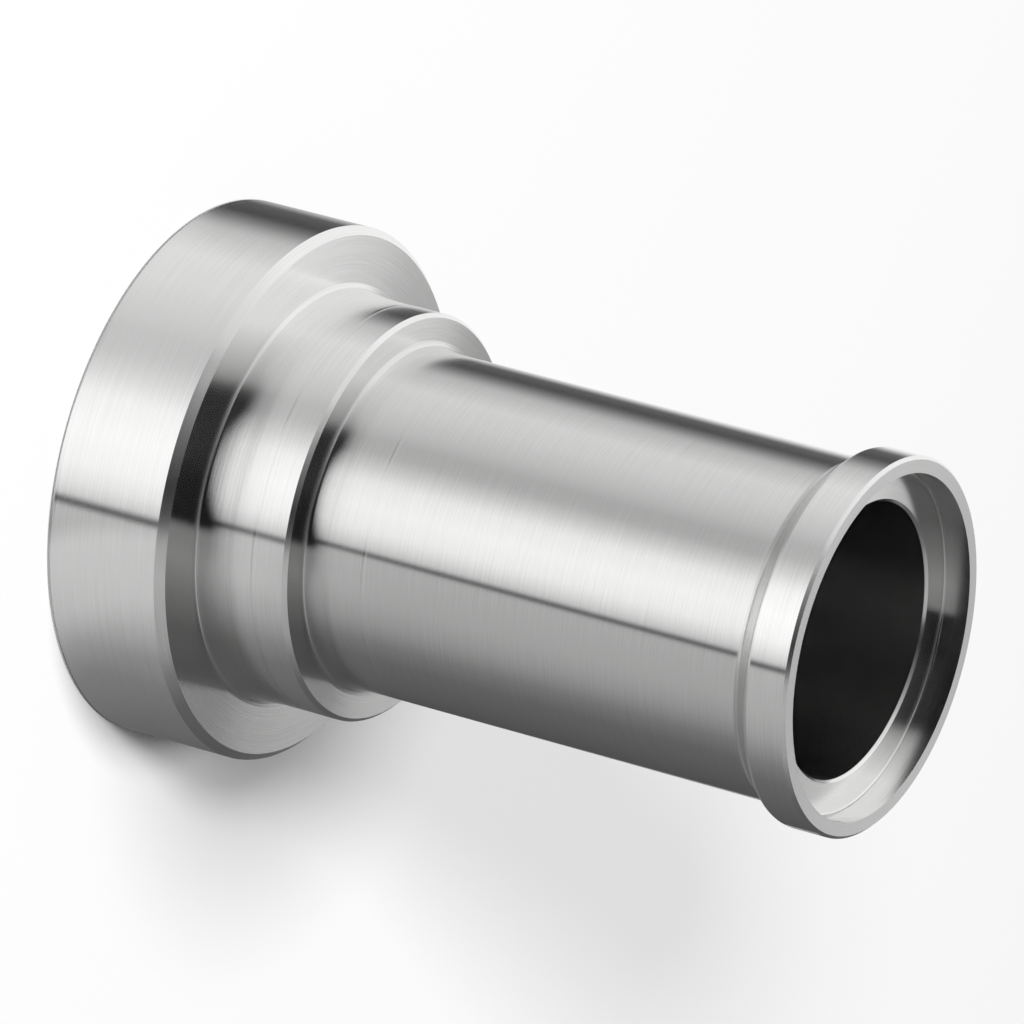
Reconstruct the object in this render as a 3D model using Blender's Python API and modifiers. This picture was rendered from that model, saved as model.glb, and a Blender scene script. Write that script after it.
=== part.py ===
"""Face seal fitting, turned from one bar of stainless steel.

The fitting stands on its sealing face with its axis along +Z. From the bottom up it has a collar
that a nut pulls on, a hub that centres the nut, a long neck, and a weld rim whose shallow socket
takes the end of a tube. One bore runs through it all.
"""

import math

import bpy
from mathutils import Vector

# All lengths are in metres

# Radii of the bore and of the four outer steps
BORE_RADIUS = 0.0051
NECK_WALL = 0.00125
RIM_STEP = 0.00064
HUB_STEP = 0.0013
COLLAR_STEP = 0.0024

# Lengths along the axis, in the order in which they follow from the sealing face
COLLAR_THICKNESS = 0.0049
HUB_LENGTH = 0.00375
NECK_LENGTH = 0.01795
RIM_BACK_LENGTH = 0.0007
RIM_LENGTH = 0.0016

# Roots of the hub and the neck, where the wall widens a little before it meets the flat face
HUB_ROOT_RISE = 0.00075
HUB_ROOT_FLARE = 0.000165
NECK_ROOT_RISE = 0.0005
NECK_ROOT_FLARE = 0.00011
ROOT_CURVE = 0.0035

# Socket in the rim, which fits a tube as wide as the neck
SOCKET_CLEARANCE = 0.00003
SOCKET_DEPTH = 0.00105

# Sealing face, from the bore outwards: a rounded bead in a recess for the gasket, then a flat land
BEAD_INSET = 0.00045
BEAD_WIDTH = 0.0016
BEAD_SETBACK = 0.0001
RECESS_MARGIN = 0.00135
RECESS_DEPTH = 0.0007

# Chamfers on outer edges
COLLAR_CHAMFER = 0.0003
COLLAR_FOOT_CHAMFER = 0.00015
HUB_CHAMFER = 0.00015
RIM_CHAMFER = 0.00012
BORE_CHAMFER = 0.0001

# Fillets in inner corners
SHOULDER_FILLET = 0.00015
RIM_COVE = 0.00055
RIM_BACK_ROUND = 0.00012
SOCKET_FILLET = 0.00012
RECESS_FILLET = 0.0002

# Fineness of the turned surface
TURN_STEPS = 80
BEAD_STEPS = 10
DEGREES_PER_FILLET_STEP = 15
MERGE_DISTANCE = 1e-6
SHARP_ANGLE = math.radians(25)

# Places that follow from the sizes above
NECK_RADIUS = BORE_RADIUS + NECK_WALL
RIM_RADIUS = NECK_RADIUS + RIM_STEP
HUB_RADIUS = NECK_RADIUS + HUB_STEP
COLLAR_RADIUS = HUB_RADIUS + COLLAR_STEP
SOCKET_RADIUS = NECK_RADIUS + SOCKET_CLEARANCE
BEAD_FOOT_RADIUS = BORE_RADIUS + BEAD_INSET
RECESS_RADIUS = BEAD_FOOT_RADIUS + BEAD_WIDTH + RECESS_MARGIN

HUB_TOP = COLLAR_THICKNESS + HUB_LENGTH
NECK_TOP = HUB_TOP + NECK_LENGTH
RIM_BACK = NECK_TOP + RIM_BACK_LENGTH
RIM_TOP = RIM_BACK + RIM_LENGTH
SOCKET_FLOOR = RIM_TOP - SOCKET_DEPTH


def rounded(corners):
    """Turn corners (radius, height, fillet) into profile points, with an arc at each fillet."""
    points = []
    for index, (radius, height, fillet) in enumerate(corners):
        here = Vector((radius, height))
        if fillet == 0:
            points.append(here)
            continue
        before = Vector(corners[index - 1][:2])
        after = Vector(corners[(index + 1) % len(corners)][:2])
        points.extend(fillet_arc(before, here, after, fillet))
    return points


def fillet_arc(before, corner, after, radius):
    """Points of the arc that touches both sides of a corner, kept within half of each side."""
    back = (before - corner).normalized()
    ahead = (after - corner).normalized()
    half_angle = back.angle(ahead) / 2
    room = min((before - corner).length, (after - corner).length) / 2
    reach = min(radius / math.tan(half_angle), room)
    radius = reach * math.tan(half_angle)
    centre = corner + (back + ahead).normalized() * radius / math.sin(half_angle)
    start = corner + back * reach - centre
    end = corner + ahead * reach - centre
    turn = start.angle_signed(end)
    steps = max(2, round(math.degrees(abs(turn)) / DEGREES_PER_FILLET_STEP))
    arc = []
    for step in range(steps + 1):
        angle = -turn * step / steps
        cosine = math.cos(angle)
        sine = math.sin(angle)
        arc.append(centre + Vector((start.x * cosine - start.y * sine,
                                    start.x * sine + start.y * cosine)))
    return arc


def sealing_bead():
    """Corners of the round bead, from its outer foot over its crest to its inner foot."""
    height = RECESS_DEPTH - BEAD_SETBACK
    half_width = BEAD_WIDTH / 2
    bead_radius = (half_width ** 2 + height ** 2) / (2 * height)
    centre_radius = BEAD_FOOT_RADIUS + half_width
    centre_height = BEAD_SETBACK + bead_radius
    half_angle = math.atan2(half_width, centre_height - RECESS_DEPTH)
    corners = []
    for step in range(BEAD_STEPS + 1):
        angle = half_angle * (1 - 2 * step / BEAD_STEPS)
        radius = centre_radius + bead_radius * math.sin(angle)
        height = centre_height - bead_radius * math.cos(angle)
        corners.append((radius, height, 0))
    return corners


def fitting_corners():
    """Corners of the whole section: down the outside, over the sealing face and up the bore."""
    outside = [
        (RIM_RADIUS - RIM_CHAMFER, RIM_TOP, 0),
        (RIM_RADIUS, RIM_TOP - RIM_CHAMFER, 0),
        (RIM_RADIUS, RIM_BACK, RIM_BACK_ROUND),
        (NECK_RADIUS, NECK_TOP, RIM_COVE),
        (NECK_RADIUS, HUB_TOP + NECK_ROOT_RISE, ROOT_CURVE),
        (NECK_RADIUS + NECK_ROOT_FLARE, HUB_TOP, SHOULDER_FILLET),
        (HUB_RADIUS - HUB_CHAMFER, HUB_TOP, 0),
        (HUB_RADIUS, HUB_TOP - HUB_CHAMFER, 0),
        (HUB_RADIUS, COLLAR_THICKNESS + HUB_ROOT_RISE, ROOT_CURVE),
        (HUB_RADIUS + HUB_ROOT_FLARE, COLLAR_THICKNESS, SHOULDER_FILLET),
        (COLLAR_RADIUS - COLLAR_CHAMFER, COLLAR_THICKNESS, 0),
        (COLLAR_RADIUS, COLLAR_THICKNESS - COLLAR_CHAMFER, 0),
        (COLLAR_RADIUS, COLLAR_FOOT_CHAMFER, 0),
        (COLLAR_RADIUS - COLLAR_FOOT_CHAMFER, 0, 0),
    ]
    sealing_face = [
        (RECESS_RADIUS, 0, 0),
        (RECESS_RADIUS, RECESS_DEPTH, RECESS_FILLET),
        *sealing_bead(),
    ]
    inside = [
        (BORE_RADIUS + BORE_CHAMFER, RECESS_DEPTH, 0),
        (BORE_RADIUS, RECESS_DEPTH + BORE_CHAMFER, 0),
        (BORE_RADIUS, SOCKET_FLOOR - BORE_CHAMFER, 0),
        (BORE_RADIUS + BORE_CHAMFER, SOCKET_FLOOR, 0),
        (SOCKET_RADIUS, SOCKET_FLOOR, SOCKET_FILLET),
        (SOCKET_RADIUS, RIM_TOP, 0),
    ]
    return outside + sealing_face + inside


def add_turned_piece(name, points, collection):
    """Revolve a closed profile round the Z axis with a Screw modifier, and apply it."""
    profile = bpy.data.meshes.new(name + "_profile")
    vertices = [(point.x, 0, point.y) for point in points]
    edges = [(index, (index + 1) % len(points)) for index in range(len(points))]
    profile.from_pydata(vertices, edges, [])
    piece = bpy.data.objects.new(name, profile)
    collection.objects.link(piece)
    screw = piece.modifiers.new("Turn", "SCREW")
    screw.axis = "Z"
    screw.angle = math.tau
    screw.steps = TURN_STEPS
    screw.render_steps = TURN_STEPS
    screw.use_merge_vertices = True
    screw.merge_threshold = MERGE_DISTANCE
    evaluated = piece.evaluated_get(bpy.context.evaluated_depsgraph_get())
    turned = bpy.data.meshes.new_from_object(evaluated)
    turned.name = name
    turned.shade_smooth()
    turned.set_sharp_from_angle(angle=SHARP_ANGLE)
    piece.modifiers.clear()
    piece.data = turned
    bpy.data.meshes.remove(profile)
    return piece


def steel():
    """Bright turned stainless steel."""
    material = bpy.data.materials.new("turned_stainless_steel")
    material.use_nodes = True
    shader = material.node_tree.nodes["Principled BSDF"]
    shader.inputs["Base Color"].default_value = (0.62, 0.61, 0.59, 1)
    shader.inputs["Metallic"].default_value = 1
    shader.inputs["Roughness"].default_value = 0.28
    return material


def main():
    for old in list(bpy.data.objects):
        bpy.data.objects.remove(old, do_unlink=True)
    collection = bpy.data.collections.new("face_seal_fitting")
    bpy.context.scene.collection.children.link(collection)
    gland = add_turned_piece("face_seal_gland", rounded(fitting_corners()), collection)
    gland.data.materials.append(steel())


main()
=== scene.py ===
"""Looks of the face seal fitting: one turned steel gland that stands on a white table.

The gland is turned again here from the same sizes as the solid, with finer rounds, and gets the
fine grooves of the lathe. The studio is a white table, two soft lamps and a ring of white and dark
panels that only the steel shows.
"""

from __future__ import annotations

import logging
import math
from dataclasses import dataclass
from enum import Enum
from typing import Any, ClassVar

import bmesh
import bpy
from mathutils import Matrix, Vector


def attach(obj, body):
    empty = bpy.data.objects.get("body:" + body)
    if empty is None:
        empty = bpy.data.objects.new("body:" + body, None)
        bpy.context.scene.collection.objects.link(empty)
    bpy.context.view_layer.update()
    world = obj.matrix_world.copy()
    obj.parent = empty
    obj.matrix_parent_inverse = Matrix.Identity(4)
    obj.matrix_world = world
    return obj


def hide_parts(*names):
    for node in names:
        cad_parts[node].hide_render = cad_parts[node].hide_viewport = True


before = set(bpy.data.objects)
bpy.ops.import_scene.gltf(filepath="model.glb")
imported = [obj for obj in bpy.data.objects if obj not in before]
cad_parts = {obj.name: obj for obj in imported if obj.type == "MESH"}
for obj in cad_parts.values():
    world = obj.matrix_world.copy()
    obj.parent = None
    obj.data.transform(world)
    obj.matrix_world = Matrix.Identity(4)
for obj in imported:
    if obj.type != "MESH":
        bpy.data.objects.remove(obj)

LOG = logging.getLogger("fitting")
MM = 0.001
FULL_TURN = 360


class Surface(Enum):
    """The parts of the gland that have a finish of their own, and most of them a base colour that
    is painted light or painted shade; the value is the material slot.
    """

    OUTSIDE = 0
    COLLAR = 1
    LIP = 2
    BORE = 3
    NECK = 4


@dataclass(frozen=True)
class Corner:
    """One corner of the turned section, and the size of its round."""

    radius: float
    height: float
    fillet: float = 0.0


@dataclass(frozen=True)
class Stop:
    """One point of a sweep of light: an angle in degrees and the brightness there."""

    angle: float
    level: float


@dataclass(frozen=True)
class Lamp:
    """One soft round lamp, aimed at the foot of the fitting.

    Angles are in degrees, the size and the distance in metres and the power in watts.
    """

    name: str
    heading: float
    height: float
    size: float
    power: float
    distance: float = 1.5

    def hang(self) -> bpy.types.Object:
        """Hang the lamp. It lights the table, and the steel doesn't show it.

        Returns:
            The lamp.
        """
        light = bpy.data.lights.new(self.name, "AREA")
        light.shape = "DISK"
        light.size = self.size
        light.energy = self.power
        lamp = bpy.data.objects.new(self.name, light)
        heading, height = math.radians(self.heading), math.radians(self.height)
        flat = math.cos(height)
        toward = Vector((math.cos(heading) * flat, math.sin(heading) * flat, math.sin(height)))
        lamp.location = toward * self.distance
        lamp.rotation_euler = toward.to_track_quat("Z", "Y").to_euler()
        lamp.visible_glossy = False
        bpy.context.scene.collection.objects.link(lamp)
        return lamp


class NodeDesk:
    """Places and joins shader nodes in one tree."""

    COLUMN_WIDTH: ClassVar[int] = 180

    def __init__(self, tree: bpy.types.NodeTree) -> None:
        """Start with an empty tree.

        Args:
            tree: The node tree to fill.
        """
        self.tree = tree
        self.tree.nodes.clear()
        self.column = 0

    def add(self, kind: str, **settings: Any) -> bpy.types.Node:
        """Add a node.

        Args:
            kind: Blender's name of the node type, without its ShaderNode prefix.
            settings: Properties of the node to set.

        Returns:
            The new node.
        """
        node = self.tree.nodes.new("ShaderNode" + kind)
        node.location = (self.column * self.COLUMN_WIDTH, 0)
        self.column += 1
        for name, value in settings.items():
            setattr(node, name, value)
        return node

    def feed(self, socket: bpy.types.NodeSocket, value: Any) -> None:
        """Link or set one input.

        Args:
            socket: The input socket.
            value: Another socket to link, or a plain value to set.
        """
        if isinstance(value, bpy.types.NodeSocket):
            self.tree.links.new(value, socket)
        else:
            socket.default_value = value

    def maths(self, operation: str, *values: Any) -> bpy.types.NodeSocket:
        """Add a Math node.

        Args:
            operation: The node's operation.
            values: Sockets or numbers for its inputs, in order.

        Returns:
            The node's output.
        """
        node = self.add("Math", operation=operation)
        for socket, value in zip(node.inputs, values):
            self.feed(socket, value)
        return node.outputs[0]

    def vector(self, operation: str, *values: Any) -> bpy.types.NodeSocket:
        """Add a Vector Math node and return its vector output.

        Args:
            operation: The node's operation.
            values: Sockets, vectors or a scale for its inputs, in order.

        Returns:
            The node's vector output.
        """
        node = self.add("VectorMath", operation=operation)
        if operation == "SCALE":
            self.feed(node.inputs[0], values[0])
            self.feed(node.inputs["Scale"], values[1])
        else:
            for socket, value in zip(node.inputs, values):
                self.feed(socket, value)
        return node.outputs[0]

    def blend(self, share: Any, first: Any, second: Any) -> bpy.types.NodeSocket:
        """Mix two numbers.

        Args:
            share: How much of the second one, from 0 to 1.
            first: The number at share 0.
            second: The number at share 1.

        Returns:
            The mixed number.
        """
        node = self.add("Mix", data_type="FLOAT")
        self.feed(node.inputs[0], share)
        self.feed(node.inputs[2], first)
        self.feed(node.inputs[3], second)
        return node.outputs[0]

    def step(self, value: Any, low: float, high: float) -> bpy.types.NodeSocket:
        """Rise smoothly from 0 to 1.

        Args:
            value: The number that is looked at.
            low: Where the rise begins.
            high: Where the rise ends.

        Returns:
            The share, from 0 to 1.
        """
        node = self.add("MapRange", interpolation_type="SMOOTHSTEP")
        for socket, number in zip(node.inputs, (value, low, high, 0.0, 1.0)):
            self.feed(socket, number)
        return node.outputs[0]

    def turn(self, across: Any, toward: Any) -> bpy.types.NodeSocket:
        """Turn a heading into degrees: 0 is the front, which is -Y, and 90 is +X.

        Args:
            across: The heading's share along X.
            toward: The heading's share along Y.

        Returns:
            The angle in degrees, from -180 to 180.
        """
        front = self.maths("MULTIPLY", toward, -1.0)
        return self.maths("DEGREES", self.maths("ARCTAN2", across, front))

    def sweep(self, turn: Any, stops: tuple[Stop, ...]) -> bpy.types.NodeSocket:
        """Turn an angle into a brightness.

        Args:
            turn: The angle in degrees, from -180 to 180.
            stops: The brightness at some angles, in rising order.

        Returns:
            The brightness.
        """
        place = self.maths("MULTIPLY_ADD", turn, 1 / FULL_TURN, 0.5)
        node = self.add("ValToRGB")
        ramp = node.color_ramp
        ramp.interpolation = "LINEAR"
        while len(ramp.elements) < len(stops):
            ramp.elements.new(1.0)
        for element, stop in zip(ramp.elements, stops):
            element.position = stop.angle / FULL_TURN + 0.5
            element.color = (stop.level, stop.level, stop.level, 1)
        self.feed(node.inputs[0], place)
        return node.outputs[0]


@dataclass(frozen=True)
class TurnedSteel:
    """Bright stainless steel with the fine grooves of a lathe round the axis.

    The rings are one noise, drawn out along the turn: rings_round is its rate round the axis and
    rings_along its rate over the whole run of the section.
    """

    name: str
    colour: tuple[float, float, float] = (0.80, 0.80, 0.795)
    roughness: float = 0.16
    grooves: float = 1.0
    groove_turn: float = 0.25
    streaks: float = 0.04
    relief: float = 0.04
    relief_height: float = 0.01 * MM
    rings_round: float = 2.2
    rings_along: float = 1600.0
    ring_detail: float = 3.0
    ring_roughness: float = 0.6
    ring_low: float = 0.25
    ring_high: float = 0.75

    def material(self) -> bpy.types.Material:
        """Make the material.

        Returns:
            The material, for pieces with the surface map that Gland makes.
        """
        made = bpy.data.materials.new(self.name)
        made.use_nodes = True
        desk = NodeDesk(made.node_tree)
        shader = desk.add("BsdfPrincipled")
        shader.inputs["Metallic"].default_value = 1.0
        shader.inputs["Anisotropic"].default_value = self.grooves
        shader.inputs["Anisotropic Rotation"].default_value = self.groove_turn
        tangent = desk.add("Tangent", direction_type="UV_MAP", uv_map=Gland.MAP)
        desk.feed(shader.inputs["Tangent"], tangent.outputs[0])
        ring = self.rings(desk)
        tone = desk.add("Mix", data_type="RGBA", blend_type="MIX")
        desk.feed(tone.inputs[0], ring)
        dark = [channel * (1 - self.streaks) for channel in self.colour]
        light = [min(1.0, channel * (1 + self.streaks)) for channel in self.colour]
        desk.feed(tone.inputs[6], (*dark, 1))
        desk.feed(tone.inputs[7], (*light, 1))
        desk.feed(shader.inputs["Base Color"], tone.outputs[2])
        shader.inputs["Roughness"].default_value = self.roughness
        bump = desk.add("Bump")
        bump.inputs["Strength"].default_value = self.relief
        bump.inputs["Distance"].default_value = self.relief_height
        desk.feed(bump.inputs["Height"], ring)
        desk.feed(shader.inputs["Normal"], bump.outputs[0])
        output = desk.add("OutputMaterial")
        desk.feed(output.inputs["Surface"], shader.outputs[0])
        return made

    def rings(self, desk: NodeDesk) -> bpy.types.NodeSocket:
        """Draw fine rings round the axis that come and go along their length.

        Args:
            desk: The material's nodes.

        Returns:
            A number from 0 to 1 over the surface.
        """
        place = desk.add("TexCoord")
        split = desk.add("SeparateXYZ")
        desk.feed(split.inputs[0], place.outputs["Object"])
        flat = desk.add("CombineXYZ")
        desk.feed(flat.inputs[0], split.outputs[0])
        desk.feed(flat.inputs[1], split.outputs[1])
        heading = desk.vector("SCALE", desk.vector("NORMALIZE", flat.outputs[0]), self.rings_round)
        turn = desk.add("SeparateXYZ")
        desk.feed(turn.inputs[0], heading)
        run = desk.add("UVMap", uv_map=Gland.MAP)
        along = desk.add("SeparateXYZ")
        desk.feed(along.inputs[0], run.outputs[0])
        fine = desk.add("CombineXYZ")
        desk.feed(fine.inputs[0], turn.outputs[0])
        desk.feed(fine.inputs[1], turn.outputs[1])
        desk.feed(fine.inputs[2], desk.maths("MULTIPLY", along.outputs[1], self.rings_along))
        noise = desk.add("TexNoise", noise_dimensions="3D")
        noise.inputs["Scale"].default_value = 1.0
        noise.inputs["Detail"].default_value = self.ring_detail
        noise.inputs["Roughness"].default_value = self.ring_roughness
        desk.feed(noise.inputs["Vector"], fine.outputs[0])
        return desk.step(noise.outputs[0], self.ring_low, self.ring_high)


@dataclass(frozen=True)
class Gland:
    """The whole fitting, turned from one bar. Sizes are in metres and match the solid's.

    Faces get their finish by where they lie. A face within touch of a wall belongs to it, and the
    collar's finish begins root_reach away from the hub. lip_normal and wall_normal say how far up
    a face of the lip has to look at least, and a face of the collar at most.
    """

    MAP: ClassVar[str] = "turned_surface"

    bore_radius: float = 5.1 * MM
    neck_radius: float = 6.35 * MM
    rim_radius: float = 6.99 * MM
    hub_radius: float = 7.65 * MM
    collar_radius: float = 10.05 * MM
    collar_top: float = 4.9 * MM
    hub_top: float = 8.65 * MM
    neck_top: float = 26.6 * MM
    rim_back: float = 27.3 * MM
    rim_top: float = 28.9 * MM
    socket_radius: float = 6.38 * MM
    socket_floor: float = 27.85 * MM
    recess_radius: float = 8.5 * MM
    recess_depth: float = 0.7 * MM
    bead_foot_radius: float = 5.55 * MM
    bead_width: float = 1.6 * MM
    bead_setback: float = 0.1 * MM
    collar_chamfer: float = 0.3 * MM
    foot_chamfer: float = 0.15 * MM
    hub_chamfer: float = 0.15 * MM
    rim_chamfer: float = 0.12 * MM
    bore_chamfer: float = 0.1 * MM
    shoulder_fillet: float = 0.15 * MM
    rim_cove: float = 0.2 * MM
    rim_back_round: float = 0.12 * MM
    socket_fillet: float = 0.12 * MM
    recess_fillet: float = 0.2 * MM
    hub_flare: float = 0.165 * MM
    hub_flare_height: float = 0.75 * MM
    neck_flare: float = 0.13 * MM
    neck_flare_height: float = 0.50 * MM
    line_depth: float = 0.0135 * MM
    line_width: float = 0.12 * MM
    hub_line: float = 7.25 * MM
    neck_line: float = 11.08 * MM
    foot_line: float = 0.28 * MM
    fillet_steps: int = 8
    bead_steps: int = 16
    turn_steps: int = 256
    edge_strip: float = 0.035 * MM
    sharp_angle: float = 30.0
    touch: float = 0.02 * MM
    root_reach: float = 0.35 * MM
    lip_normal: float = 0.9
    wall_normal: float = 0.5

    def corners(self) -> list[Corner]:
        """List the corners of the section.

        Returns:
            The corners from the lip down the outside, over the sealing face and up the bore,
            without the bead.
        """
        bead_outside = self.bead_foot_radius + self.bead_width
        neck_root = self.flared_root(
            self.neck_radius, self.hub_top, self.neck_flare, self.neck_flare_height
        )
        hub_root = self.flared_root(
            self.hub_radius, self.collar_top, self.hub_flare, self.hub_flare_height
        )
        return [
            Corner(self.rim_radius - self.rim_chamfer, self.rim_top),
            Corner(self.rim_radius, self.rim_top - self.rim_chamfer),
            Corner(self.rim_radius, self.rim_back, self.rim_back_round),
            Corner(self.neck_radius, self.neck_top, self.rim_cove),
            *self.tool_line(self.neck_radius, self.neck_line),
            *neck_root,
            Corner(self.hub_radius - self.hub_chamfer, self.hub_top),
            Corner(self.hub_radius, self.hub_top - self.hub_chamfer),
            *self.tool_line(self.hub_radius, self.hub_line),
            *hub_root,
            Corner(self.collar_radius - self.collar_chamfer, self.collar_top),
            Corner(self.collar_radius, self.collar_top - self.collar_chamfer),
            *self.tool_line(self.collar_radius, self.foot_line),
            Corner(self.collar_radius, self.foot_chamfer),
            Corner(self.collar_radius - self.foot_chamfer, 0),
            Corner(self.recess_radius, 0),
            Corner(self.recess_radius, self.recess_depth, self.recess_fillet),
            Corner(bead_outside, self.recess_depth),
            Corner(self.bead_foot_radius, self.recess_depth),
            Corner(self.bore_radius + self.bore_chamfer, self.recess_depth),
            Corner(self.bore_radius, self.recess_depth + self.bore_chamfer),
            Corner(self.bore_radius, self.socket_floor - self.bore_chamfer),
            Corner(self.bore_radius + self.bore_chamfer, self.socket_floor),
            Corner(self.socket_radius, self.socket_floor, self.socket_fillet),
            Corner(self.socket_radius, self.rim_top),
        ]

    def tool_line(self, radius: float, height: float) -> list[Corner]:
        """List the corners of a shallow line that the tool has left round a wall.

        Args:
            radius: The wall's radius.
            height: The line's height.

        Returns:
            The line's upper edge, its bottom and its lower edge.
        """
        half = self.line_width / 2
        return [
            Corner(radius, height + half),
            Corner(radius - self.line_depth, height),
            Corner(radius, height - half),
        ]

    def flared_root(self, radius: float, height: float, flare: float, rise: float) -> list[Corner]:
        """List the corners of a wall's root, where it widens a little before the flat face.

        Args:
            radius: The wall's radius.
            height: The height of the flat face.
            flare: How much wider the wall is at its foot.
            rise: How far above the flat face the slope begins.

        Returns:
            The start of the slope and its foot.
        """
        return [
            Corner(radius, height + rise, rise - self.shoulder_fillet),
            Corner(radius + flare, height, self.shoulder_fillet),
        ]

    def draw_section(self, bm: bmesh.types.BMesh) -> None:
        """Draw the section as a closed line of edges, with its rounds and its bead.

        Args:
            bm: The mesh to draw in.
        """
        corners = self.corners()
        points = [bm.verts.new((c.radius, 0, c.height)) for c in corners]
        bead_foot = self.bead_foot_radius
        for index in range(len(corners)):
            following = points[(index + 1) % len(points)]
            if corners[(index + 1) % len(corners)].radius == bead_foot:
                self.draw_bead(bm, points[index], following)
                continue
            bm.edges.new((points[index], following))
        for point, corner in zip(points, corners):
            if corner.fillet:
                bmesh.ops.bevel(
                    bm, geom=[point], offset=corner.fillet, offset_type="OFFSET",
                    segments=self.fillet_steps, profile=0.5, affect="VERTICES", material=-1,
                )
        for edge in [e for e in bm.edges if e.calc_length() > 3 * self.edge_strip]:
            self.strip_ends(edge)

    def strip_ends(self, edge: bmesh.types.BMEdge) -> None:
        """Cut a narrow strip off both ends of a long edge, so that its shading stays flat.

        Args:
            edge: The edge to cut.
        """
        length = edge.calc_length()
        start, end = edge.verts
        bmesh.utils.edge_split(edge, start, self.edge_strip / length)
        remains = length - 1.5 * self.edge_strip
        rest = next(e for e in end.link_edges if e.calc_length() > remains)
        bmesh.utils.edge_split(rest, end, self.edge_strip / rest.calc_length())

    def draw_bead(
        self, bm: bmesh.types.BMesh, outer: bmesh.types.BMVert, inner: bmesh.types.BMVert
    ) -> None:
        """Draw the round sealing bead as an arc between its two feet.

        Args:
            bm: The mesh to draw in.
            outer: The foot away from the bore.
            inner: The foot by the bore.
        """
        height = self.recess_depth - self.bead_setback
        half = self.bead_width / 2
        radius = (half ** 2 + height ** 2) / (2 * height)
        centre = Vector((self.bead_foot_radius + half, 0, self.bead_setback + radius))
        opening = 2 * math.atan2(half, radius - height)
        drawn = bmesh.ops.spin(
            bm, geom=[outer], cent=centre, axis=(0, 1, 0), dvec=(0, 0, 0), angle=opening,
            steps=self.bead_steps, use_merge=False, use_normal_flip=False, use_duplicate=False,
        )
        last = [item for item in drawn["geom_last"] if isinstance(item, bmesh.types.BMVert)][0]
        bmesh.ops.pointmerge(bm, verts=[inner, last], merge_co=inner.co)

    def measure_run(self, bm: bmesh.types.BMesh) -> float:
        """Note on each point how far along the section it lies.

        Args:
            bm: The mesh with the section.

        Returns:
            The whole length of the section.
        """
        run = bm.verts.layers.float.new("run")
        here = max(bm.verts, key=lambda v: (round(v.co.z, 7), -v.co.x))
        edge = min(here.link_edges, key=lambda e: e.other_vert(here).co.z)
        start, total = here, 0.0
        while True:
            total += edge.calc_length()
            here = edge.other_vert(here)
            if here == start:
                return total
            here[run] = total
            edge = next(e for e in here.link_edges if e != edge)

    def turn(self) -> bpy.types.Object:
        """Turn the section round the axis.

        Returns:
            The gland as a mesh object with its surface map and its material slots numbered.
        """
        bm = bmesh.new()
        self.draw_section(bm)
        length = self.measure_run(bm)
        bmesh.ops.spin(
            bm, geom=bm.verts[:] + bm.edges[:], cent=(0, 0, 0), axis=(0, 0, 1), dvec=(0, 0, 0),
            angle=math.tau, steps=self.turn_steps, use_merge=True, use_normal_flip=False,
            use_duplicate=False,
        )
        bmesh.ops.recalc_face_normals(bm, faces=bm.faces[:])
        self.map_surface(bm, length)
        mesh = bpy.data.meshes.new("gland")
        bm.to_mesh(mesh)
        bm.free()
        mesh.shade_smooth()
        mesh.set_sharp_from_angle(angle=math.radians(self.sharp_angle))
        made = bpy.data.objects.new("gland", mesh)
        bpy.context.scene.collection.objects.link(made)
        return made

    def map_surface(self, bm: bmesh.types.BMesh, length: float) -> None:
        """Lay the surface map: across is the turn round the axis, up is the run of the section.

        Args:
            bm: The turned mesh.
            length: The whole length of the section.
        """
        run = bm.verts.layers.float["run"]
        sheet = bm.loops.layers.uv.new(self.MAP)
        for face in bm.faces:
            middle = face.calc_center_median()
            heading = math.atan2(middle.x, middle.y)
            runs = [loop.vert[run] for loop in face.loops]
            wraps = max(runs) - min(runs) > length / 2
            for loop in face.loops:
                place = loop.vert.co
                aside = math.remainder(math.atan2(place.x, place.y) - heading, math.tau)
                along = loop.vert[run] + (length if wraps and loop.vert[run] < length / 2 else 0)
                loop[sheet].uv = ((heading + aside) / math.tau + 0.5, along / length)
            face.material_index = self.surface_of(middle, face.normal).value

    def surface_of(self, place: Vector, normal: Vector) -> Surface:
        """Say which finish a face has.

        Args:
            place: The face's middle.
            normal: The face's normal.

        Returns:
            The surface that the face belongs to.
        """
        radius = math.hypot(place.x, place.y)
        in_bore = self.recess_depth < place.z < self.socket_floor
        on_neck = self.hub_top < place.z < self.neck_top
        if place.z > self.rim_top - self.touch / 2 and normal.z > self.lip_normal:
            return Surface.LIP
        if radius > self.hub_radius + self.root_reach and normal.z < self.wall_normal:
            return Surface.COLLAR
        if radius < self.bore_radius + self.touch and in_bore:
            return Surface.BORE
        if radius > self.neck_radius - self.touch and on_neck:
            return Surface.NECK
        return Surface.OUTSIDE


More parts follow.
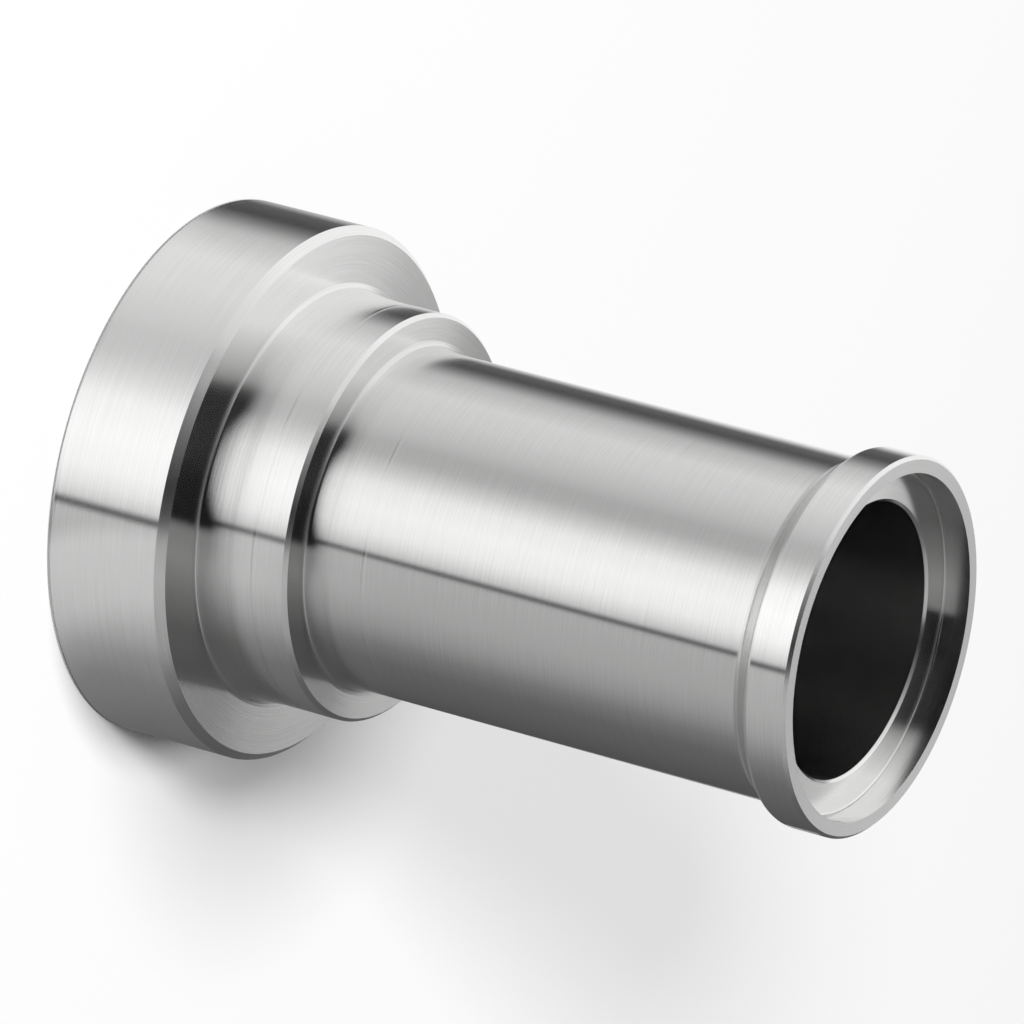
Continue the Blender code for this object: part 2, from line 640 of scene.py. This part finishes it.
@dataclass(frozen=True)
class Studio:
    """The white table, the lamps and the panels round the fitting.

    A panel is placed by the steel that shows it: the turn and the tilt, in degrees, of a face
    that mirrors the panel in the direction of view. Upright walls have no tilt, and flat faces
    that look up have a tilt of 90. Each pair of tilts says where one kind of panel fades into the
    next one, and the bow lets the ledges begin at a lower tilt beside the middle of the front.
    Faces within bevel_spans of bevel_tilt show a panel of their own.

    In the steel the table is open, so that the panels below it show, apart from the shade under
    the foot and a pale ring round it, which is a painted glow of the table that only the steel
    mirrors.
    """

    view: Vector = Vector((0.0, -0.8827, 0.4699))
    walls: tuple[Stop, ...] = (
        Stop(-90, 1.0), Stop(-84, 0.82), Stop(-80, 0.44), Stop(-76, 0.10), Stop(-68, 0.05),
        Stop(-64, 0.19), Stop(-58, 0.56), Stop(-47, 0.82), Stop(-38, 0.77), Stop(-29, 0.64),
        Stop(-24, 0.55), Stop(-19, 0.58), Stop(-14, 0.80), Stop(-9, 1.10), Stop(-1, 1.20),
        Stop(6, 1.12), Stop(9.5, 0.94), Stop(12.8, 0.70), Stop(13.3, 0.0), Stop(14.95, 0.0),
        Stop(15.4, 0.56), Stop(20, 0.52), Stop(30, 0.46), Stop(37, 0.38), Stop(46, 0.22),
        Stop(54, 0.15), Stop(66, 0.12), Stop(85, 0.08), Stop(88, 0.3), Stop(90, 0.7),
    )
    ledges: tuple[Stop, ...] = (
        Stop(-90, 1.0), Stop(-46, 1.0), Stop(-38, 0.78), Stop(-30, 0.56), Stop(-26, 0.38),
        Stop(-23, 0.10), Stop(-20.5, 0.03), Stop(-4, 0.03), Stop(4, 0.01),
        Stop(15.5, 0.01), Stop(17.5, 0.25), Stop(26, 0.30), Stop(38, 0.19), Stop(50, 0.12),
        Stop(62, 0.12), Stop(80, 0.12), Stop(130, 0.12), Stop(150, 0.9),
    )
    bevels: tuple[Stop, ...] = (
        Stop(-90, 1.0), Stop(-54, 1.0), Stop(-46, 0.90), Stop(-38, 0.92), Stop(-30, 0.92),
        Stop(-26, 0.88), Stop(-22, 0.78), Stop(-18, 0.70), Stop(-14, 0.50), Stop(-6, 0.26),
        Stop(0, 0.15), Stop(6, 0.06), Stop(12, 0.13), Stop(14, 0.25), Stop(16, 0.45),
        Stop(20, 0.56), Stop(26, 0.60), Stop(42, 0.48), Stop(50, 0.26), Stop(60, 0.13),
        Stop(80, 0.08), Stop(130, 0.08), Stop(150, 0.9),
    )
    tops: tuple[Stop, ...] = (
        Stop(-180, 0.70), Stop(-125, 0.70), Stop(-108, 0.45), Stop(-96, 0.54), Stop(-88, 0.98),
        Stop(-46, 0.95), Stop(-34, 0.66), Stop(-24, 0.40), Stop(-16, 0.26), Stop(14, 0.22),
        Stop(30, 0.22), Stop(46, 0.08), Stop(74, 0.10), Stop(84, 0.16), Stop(96, 0.42),
        Stop(124, 0.60), Stop(180, 0.70),
    )
    undersides: tuple[Stop, ...] = (
        Stop(-90, 0.5), Stop(-80, 0.36), Stop(-60, 0.64), Stop(-40, 0.50), Stop(-22, 0.34),
        Stop(-14, 0.60), Stop(-4, 1.12), Stop(4, 1.12), Stop(12, 0.64), Stop(18, 0.31),
        Stop(40, 0.24), Stop(80, 0.20), Stop(90, 0.6),
    )
    ledge_tilts: tuple[float, float] = (10.5, 16.5)
    top_tilts: tuple[float, float] = (50.0, 58.0)
    underside_tilts: tuple[float, float] = (-9.0, -16.0)
    bevel_tilt: float = 45.0
    bevel_spans: tuple[float, float] = (4.0, 2.0)
    bow_middle: float = -2.0
    bow_rate: float = 0.026
    bow_most: float = 6.5
    bow_ends: tuple[float, float] = (36.0, 22.0)
    fill_level: float = 0.10
    table_reach: float = 2.0
    table_drop: float = 0.01 * MM
    table_colour: float = 0.90
    foot_shade_radius: float = 9.9 * MM
    # Painted glow: how far the pale ring that the steel mirrors on the table reaches, how bright
    # it is and its share by turn.
    near_inner: float = 19.0 * MM
    near_outer: float = 24.0 * MM
    near_glow_level: float = 0.88
    near_glow_shares: tuple[Stop, ...] = (
        Stop(-180, 0.0), Stop(-68, 0.0), Stop(-56, 0.24), Stop(-24, 0.32), Stop(-12, 0.22),
        Stop(11, 0.24), Stop(13, 0.0), Stop(21, 0.0), Stop(26, 0.42), Stop(44, 0.40),
        Stop(54, 0.20), Stop(64, 0.11), Stop(90, 0.06), Stop(180, 0.0),
    )
    lamps: tuple[Lamp, ...] = (
        Lamp("high_lamp", heading=-121.0, height=68.8, size=0.62, power=18.5),
        Lamp("low_lamp", heading=-105.0, height=29.8, size=0.30, power=11.6),
    )

    def hang_panels(self) -> None:
        """Make the world: white to the camera, plain for the table, panels for the steel."""
        world = bpy.data.worlds.new("studio")
        world.use_nodes = True
        world.cycles.sampling_method = "NONE"
        bpy.context.scene.world = world
        desk = NodeDesk(world.node_tree)
        path = desk.add("LightPath")
        panels = self.panel_level(desk, path)
        untouched = desk.maths("LESS_THAN", path.outputs["Diffuse Depth"], 0.5)
        mirrored = desk.maths("MULTIPLY", path.outputs["Is Glossy Ray"], untouched)
        level = desk.blend(mirrored, self.fill_level, panels)
        level = desk.blend(path.outputs["Is Camera Ray"], level, 1.0)
        background = desk.add("Background")
        desk.feed(background.inputs[0], level)
        output = desk.add("OutputWorld")
        desk.feed(output.inputs[0], background.outputs[0])

    def mirror_angles(self, desk: NodeDesk) -> tuple[bpy.types.NodeSocket, bpy.types.NodeSocket]:
        """Find the face that mirrors a place of the world in the direction of view.

        Args:
            desk: The world's nodes.

        Returns:
            The face's turn and its tilt, in degrees.
        """
        sight = desk.add("TexCoord").outputs["Generated"]
        facing = desk.vector("NORMALIZE", desk.vector("ADD", sight, self.view))
        split = desk.add("SeparateXYZ")
        desk.feed(split.inputs[0], facing)
        across, toward, up = split.outputs
        return desk.turn(across, toward), desk.maths("DEGREES", desk.maths("ARCSINE", up))

    def bow(self, desk: NodeDesk, turn: bpy.types.NodeSocket) -> bpy.types.NodeSocket:
        """Say how much lower the ledges begin at some turn.

        Args:
            desk: The world's nodes.
            turn: The turn of the mirroring face, in degrees.

        Returns:
            The angle in degrees.
        """
        aside = desk.maths("SUBTRACT", turn, self.bow_middle)
        squared = desk.maths("MULTIPLY", aside, aside)
        bow = desk.maths("MINIMUM", desk.maths("MULTIPLY", squared, self.bow_rate), self.bow_most)
        share = desk.step(desk.maths("ABSOLUTE", aside), *self.bow_ends)
        return desk.maths("MULTIPLY", bow, share)

    def panel_level(self, desk: NodeDesk, path: bpy.types.Node) -> bpy.types.NodeSocket:
        """Join the panels. Only what is mirrored once shows the bevels' panel.

        Args:
            desk: The world's nodes.
            path: The Light Path node.

        Returns:
            The brightness of the panels.
        """
        turn, tilt = self.mirror_angles(desk)
        walls, ledges, bevels, tops, undersides = (
            desk.sweep(turn, stops)
            for stops in (self.walls, self.ledges, self.bevels, self.tops, self.undersides)
        )
        bowed = desk.maths("ADD", tilt, self.bow(desk, turn))
        level = desk.blend(desk.step(bowed, *self.ledge_tilts), walls, ledges)
        from_bevel = desk.maths("ABSOLUTE", desk.maths("SUBTRACT", tilt, self.bevel_tilt))
        once = desk.maths("LESS_THAN", path.outputs["Glossy Depth"], 1.5)
        bevel = desk.maths("MULTIPLY", desk.step(from_bevel, *self.bevel_spans), once)
        level = desk.blend(bevel, level, bevels)
        level = desk.blend(desk.step(tilt, *self.top_tilts), level, tops)
        return desk.blend(desk.step(tilt, *self.underside_tilts), level, undersides)

    def lay_table(self) -> bpy.types.Object:
        """Lay the white table.

        Returns:
            The table, which is no part of the fitting.
        """
        bm = bmesh.new()
        bmesh.ops.create_grid(bm, x_segments=1, y_segments=1, size=self.table_reach)
        mesh = bpy.data.meshes.new("table")
        bm.to_mesh(mesh)
        bm.free()
        table = bpy.data.objects.new("table", mesh)
        table.location.z = -self.table_drop
        bpy.context.scene.collection.objects.link(table)
        table.data.materials.append(self.table_finish())
        return table

    def table_finish(self) -> bpy.types.Material:
        """Make the table's white.

        Returns:
            The material: white with a shadow, and open to what the steel mirrors beyond its foot,
                where a pale ring of painted glow shows in the steel.
        """
        made = bpy.data.materials.new("white_table")
        made.use_nodes = True
        desk = NodeDesk(made.node_tree)
        path = desk.add("LightPath")
        paint = desk.add("BsdfDiffuse")
        paint.inputs[0].default_value = (self.table_colour,) * 3 + (1,)
        place = desk.add("TexCoord").outputs["Object"]
        reach = desk.add("VectorMath", operation="LENGTH")
        desk.feed(reach.inputs[0], place)
        beyond = desk.maths("GREATER_THAN", reach.outputs["Value"], self.foot_shade_radius)
        open_share = desk.maths("MULTIPLY", beyond, path.outputs["Is Glossy Ray"])
        split = desk.add("SeparateXYZ")
        desk.feed(split.inputs[0], place)
        turn = desk.turn(split.outputs[0], split.outputs[1])
        # Painted glow: out to near_outer the table glows by turn for glossy rays only, a painted
        # light that only the steel mirrors.
        near = desk.step(reach.outputs["Value"], self.near_outer, self.near_inner)
        white = desk.add("Emission")
        white.inputs[0].default_value = (self.near_glow_level,) * 3 + (1,)
        sheer = desk.add("BsdfTransparent")
        clear = desk.add("MixShader")
        pale = desk.maths("MULTIPLY", near, desk.sweep(turn, self.near_glow_shares))
        desk.feed(clear.inputs[0], pale)
        desk.feed(clear.inputs[1], sheer.outputs[0])
        desk.feed(clear.inputs[2], white.outputs[0])
        mix = desk.add("MixShader")
        desk.feed(mix.inputs[0], open_share)
        desk.feed(mix.inputs[1], paint.outputs[0])
        desk.feed(mix.inputs[2], clear.outputs[0])
        output = desk.add("OutputMaterial")
        desk.feed(output.inputs[0], mix.outputs[0])
        return made


@dataclass(frozen=True)
class Viewpoint:
    """The camera as in the photograph.

    Its place and its clipping are in metres, its sensor and its lens in millimetres. right and up
    are the directions of the picture's own sides.
    """

    place: Vector = Vector((0.0, -0.306932, 0.176485))
    right: Vector = Vector((-0.258845, 0.452992, 0.853111))
    up: Vector = Vector((-0.965912, -0.124795, -0.226805))
    sensor: float = 36.0
    lens: float = 337.555
    clip_start: float = 0.01
    clip_end: float = 20.0

    def place_camera(self) -> bpy.types.Object:
        """Place the camera and make it the scene's own.

        Returns:
            The camera.
        """
        data = bpy.data.cameras.new("camera")
        data.sensor_width = self.sensor
        data.lens = self.lens
        data.clip_start = self.clip_start
        data.clip_end = self.clip_end
        camera = bpy.data.objects.new("camera", data)
        turned = Matrix((self.right, self.up, self.right.cross(self.up))).transposed().to_4x4()
        camera.matrix_world = Matrix.Translation(self.place) @ turned
        bpy.context.scene.collection.objects.link(camera)
        bpy.context.scene.camera = camera
        return camera


# Painted light and shade: the zones are one steel, and only their roughness and grooves are a real
# finish of their own. Their base colours are lit and shaded copies of it, for how light falls on
# each zone: the outside, the collar and the lip are painted lighter, and the neck darker.
FINISHES_WITH_PAINTED_LIGHT_AND_SHADE: dict[Surface, TurnedSteel] = {
    Surface.OUTSIDE: TurnedSteel("turned_steel_painted_light", colour=(0.84, 0.84, 0.835), roughness=0.145),
    Surface.COLLAR: TurnedSteel("collar_steel_painted_light", colour=(0.86, 0.86, 0.855), roughness=0.14),
    # The lip's rougher faced finish is real; its near-white colour is painted light.
    Surface.LIP: TurnedSteel(
        "faced_steel_painted_light", colour=(0.99, 0.99, 0.98), roughness=0.45, grooves=0.2
    ),
    Surface.BORE: TurnedSteel("bored_steel"),
    # Painted shade: the neck's darker colour.
    Surface.NECK: TurnedSteel("neck_steel_painted_shade", colour=(0.77, 0.77, 0.765)),
}


def main() -> None:
    """Build the fitting and the studio, and report each piece."""
    logging.basicConfig(level=logging.INFO, format="%(name)s: %(message)s")
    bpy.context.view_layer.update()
    gland = Gland().turn()
    for surface in Surface:
        gland.data.materials.append(FINISHES_WITH_PAINTED_LIGHT_AND_SHADE[surface].material())
    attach(gland, "root")
    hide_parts("face_seal_gland")
    LOG.info("gland: %d faces", len(gland.data.polygons))
    studio = Studio()
    studio.hang_panels()
    LOG.info("table: %s", studio.lay_table().name)
    for lamp in studio.lamps:
        LOG.info("lamp: %s", lamp.hang().name)
    LOG.info("camera: %s", Viewpoint().place_camera().name)
    bpy.context.scene.view_settings.view_transform = "Standard"


if __name__ == "__main__":
    main()
